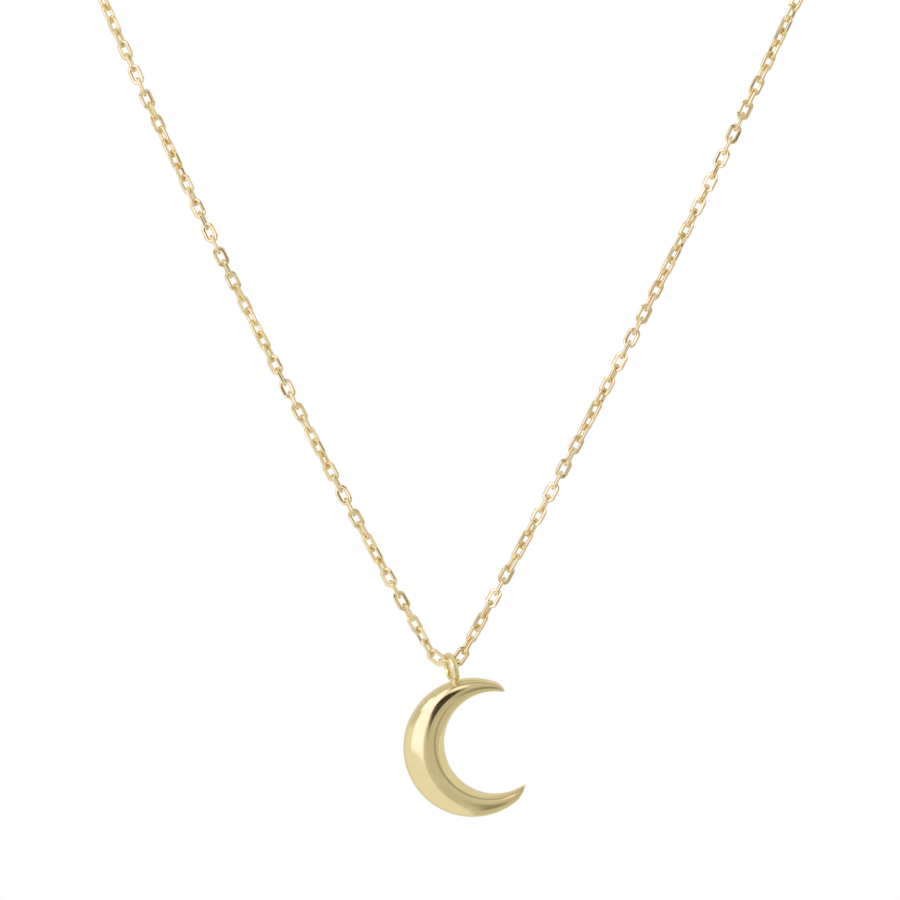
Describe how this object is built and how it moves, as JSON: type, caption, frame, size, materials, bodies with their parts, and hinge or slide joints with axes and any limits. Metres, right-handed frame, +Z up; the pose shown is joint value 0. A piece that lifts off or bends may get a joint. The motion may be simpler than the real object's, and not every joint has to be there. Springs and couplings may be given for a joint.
{
  "type": "pendant necklace",
  "caption": "Fine cable-chain necklace closed by a spring-ring clasp, with a puffed crescent moon hung from a small soldered ring.",
  "frame": {"origin": "centre of the neck opening, halfway in height between the collar bones and the nape", "axes": "+Z up the neck, -Y out of the front of the necklace, +X to the right seen from the front"},
  "size_m": [0.0975, 0.0967, 0.1503],
  "materials": {
    "chain_gold": "polished, diamond-cut",
    "crescent_gold": "high polish",
    "back_plate_gold": "polished",
    "bail_gold": "polished",
    "solder_gold": "bright",
    "clasp_gold": "polished",
    "spring_steel": "bright drawn wire"
  },
  "bodies": {
    "neck_chain": {"left_collar_chain": "chain_gold", "left_shoulder_chain": "chain_gold", "left_nape_chain": "chain_gold", "right_collar_chain": "chain_gold", "right_shoulder_chain": "chain_gold", "right_nape_chain": "chain_gold"},
    "left_front_1": {"left_front_chain_1": "chain_gold"},
    "right_front_1": {"right_front_chain_1": "chain_gold"},
    "left_front_2": {"left_front_chain_2": "chain_gold"},
    "right_front_2": {"right_front_chain_2": "chain_gold"},
    "left_front_3": {"left_front_chain_3": "chain_gold"},
    "right_front_3": {"right_front_chain_3": "chain_gold"},
    "left_front_4": {"left_front_chain_4": "chain_gold"},
    "right_front_4": {"right_front_chain_4": "chain_gold"},
    "left_front_5": {"left_front_chain_5": "chain_gold"},
    "right_front_5": {"right_front_chain_5": "chain_gold"},
    "left_front_6": {"left_front_chain_6": "chain_gold"},
    "right_front_6": {"right_front_chain_6": "chain_gold"},
    "left_front_7": {"left_front_chain_7": "chain_gold"},
    "right_front_7": {"right_front_chain_7": "chain_gold"},
    "left_front_8": {"left_front_chain_8": "chain_gold"},
    "right_front_8": {"right_front_chain_8": "chain_gold"},
    "left_front_9": {"left_front_chain_9": "chain_gold", "centre_link": "chain_gold"},
    "right_front_9": {"right_front_chain_9": "chain_gold"},
    "pendant": {"crescent_front": "crescent_gold", "crescent_back": "back_plate_gold", "bail_ring": "bail_gold", "bail_solder": "solder_gold"},
    "clasp_ring": {"clasp_jump_ring": "clasp_gold"},
    "clasp": {"clasp_tube": "clasp_gold", "clasp_eye": "clasp_gold", "clasp_spring": "spring_steel"},
    "clasp_trigger": {"clasp_bolt": "clasp_gold", "clasp_thumb_knob": "clasp_gold"},
    "tab_ring": {"tab_jump_ring": "clasp_gold"},
    "tab": {"end_tab": "clasp_gold"}
  },
  "joints": [
    {"name": "left_row_1_swing", "type": "hinge", "parent": "neck_chain", "child": "left_front_1", "pos_m": [-0.04088, -0.04801, -0.02499], "axis": [1, 0, -0.0029], "range_deg": [-30, 30]},
    {"name": "right_row_1_swing", "type": "hinge", "parent": "neck_chain", "child": "right_front_1", "pos_m": [0.0417, -0.04801, -0.02523], "axis": [1, 0, -0.0029], "range_deg": [-30, 30]},
    {"name": "left_row_2_swing", "type": "hinge", "parent": "left_front_1", "child": "left_front_2", "pos_m": [-0.03699, -0.048, -0.03462], "axis": [1, 0, 0.0037], "range_deg": [-30, 30]},
    {"name": "right_row_2_swing", "type": "hinge", "parent": "right_front_1", "child": "right_front_2", "pos_m": [0.03763, -0.048, -0.03435], "axis": [1, 0, 0.0037], "range_deg": [-30, 30]},
    {"name": "left_row_3_swing", "type": "hinge", "parent": "left_front_2", "child": "left_front_3", "pos_m": [-0.03309, -0.048, -0.04381], "axis": [1, 0, 0.0032], "range_deg": [-30, 30]},
    {"name": "right_row_3_swing", "type": "hinge", "parent": "right_front_2", "child": "right_front_3", "pos_m": [0.03338, -0.048, -0.0436], "axis": [1, 0, 0.0032], "range_deg": [-30, 30]},
    {"name": "left_row_4_swing", "type": "hinge", "parent": "left_front_3", "child": "left_front_4", "pos_m": [-0.02904, -0.048, -0.05294], "axis": [1, 0, -0.004], "range_deg": [-30, 30]},
    {"name": "right_row_4_swing", "type": "hinge", "parent": "right_front_3", "child": "right_front_4", "pos_m": [0.02886, -0.048, -0.05317], "axis": [1, 0, -0.004], "range_deg": [-30, 30]},
    {"name": "left_row_5_swing", "type": "hinge", "parent": "left_front_4", "child": "left_front_5", "pos_m": [-0.0246, -0.048, -0.06255], "axis": [1, 0, 0.0044], "range_deg": [-30, 30]},
    {"name": "right_row_5_swing", "type": "hinge", "parent": "right_front_4", "child": "right_front_5", "pos_m": [0.02441, -0.048, -0.06233], "axis": [1, 0, 0.0044], "range_deg": [-30, 30]},
    {"name": "left_row_6_swing", "type": "hinge", "parent": "left_front_5", "child": "left_front_6", "pos_m": [-0.02025, -0.048, -0.07153], "axis": [1, 0, 0.0066], "range_deg": [-30, 30]},
    {"name": "right_row_6_swing", "type": "hinge", "parent": "right_front_5", "child": "right_front_6", "pos_m": [0.01995, -0.048, -0.07127], "axis": [1, 0, 0.0066], "range_deg": [-30, 30]},
    {"name": "left_row_7_swing", "type": "hinge", "parent": "left_front_6", "child": "left_front_7", "pos_m": [-0.01576, -0.048, -0.08045], "axis": [1, 0, 0.0095], "range_deg": [-30, 30]},
    {"name": "right_row_7_swing", "type": "hinge", "parent": "right_front_6", "child": "right_front_7", "pos_m": [0.01541, -0.048, -0.08015], "axis": [1, 0, 0.0095], "range_deg": [-30, 30]},
    {"name": "left_row_8_swing", "type": "hinge", "parent": "left_front_7", "child": "left_front_8", "pos_m": [-0.01084, -0.048, -0.08982], "axis": [0.9999, 0, 0.014], "range_deg": [-30, 30]},
    {"name": "right_row_8_swing", "type": "hinge", "parent": "right_front_7", "child": "right_front_8", "pos_m": [0.01048, -0.048, -0.08952], "axis": [0.9999, 0, 0.014], "range_deg": [-30, 30]},
    {"name": "left_row_9_swing", "type": "hinge", "parent": "left_front_8", "child": "left_front_9", "pos_m": [-0.00605, -0.048, -0.09858], "axis": [0.9993, 0, 0.0376], "range_deg": [-30, 30]},
    {"name": "right_row_9_swing", "type": "hinge", "parent": "right_front_8", "child": "right_front_9", "pos_m": [0.00584, -0.048, -0.09814], "axis": [0.9993, 0, 0.0376], "range_deg": [-30, 30]},
    {"name": "pendant_swing", "type": "hinge", "parent": "left_front_9", "child": "pendant", "pos_m": [0.00019, -0.048, -0.1077], "axis": [0.9237, 0.2924, 0.2475], "range_deg": [-80, 80]},
    {"name": "clasp_ring_swing", "type": "hinge", "parent": "neck_chain", "child": "clasp_ring", "pos_m": [-0.00581, 0.046, 0.025], "axis": [1, 0, 0], "range_deg": [-25, 25]},
    {"name": "clasp_swing", "type": "hinge", "parent": "clasp_ring", "child": "clasp", "pos_m": [0, 0.046, 0.025], "axis": [1, 0, 0], "range_deg": [-25, 25]},
    {"name": "trigger_pull", "type": "hinge", "parent": "clasp", "child": "clasp_trigger", "pos_m": [0, 0.046, 0.025], "axis": [0, -1, 0], "range_deg": [0, 40], "stiffness_Nm_per_rad": 0.001, "springref_deg": -17.19, "deforming": ["clasp_spring"]},
    {"name": "tab_ring_swing", "type": "hinge", "parent": "neck_chain", "child": "tab_ring", "pos_m": [0.00628, 0.046, 0.025], "axis": [1, 0, 0], "range_deg": [-25, 25]},
    {"name": "end_tab_swing", "type": "hinge", "parent": "tab_ring", "child": "tab", "pos_m": [0.0045, 0.046, 0.025], "axis": [1, 0, 0], "range_deg": [-25, 25]}
  ],
  "couplings": [
    {"joint": "right_row_1_swing", "follows": "left_row_1_swing", "ratio": 1},
    {"joint": "right_row_2_swing", "follows": "left_row_2_swing", "ratio": 1},
    {"joint": "right_row_3_swing", "follows": "left_row_3_swing", "ratio": 1},
    {"joint": "right_row_4_swing", "follows": "left_row_4_swing", "ratio": 1},
    {"joint": "right_row_5_swing", "follows": "left_row_5_swing", "ratio": 1},
    {"joint": "right_row_6_swing", "follows": "left_row_6_swing", "ratio": 1},
    {"joint": "right_row_7_swing", "follows": "left_row_7_swing", "ratio": 1},
    {"joint": "right_row_8_swing", "follows": "left_row_8_swing", "ratio": 1},
    {"joint": "right_row_9_swing", "follows": "left_row_9_swing", "ratio": 1}
  ]
}
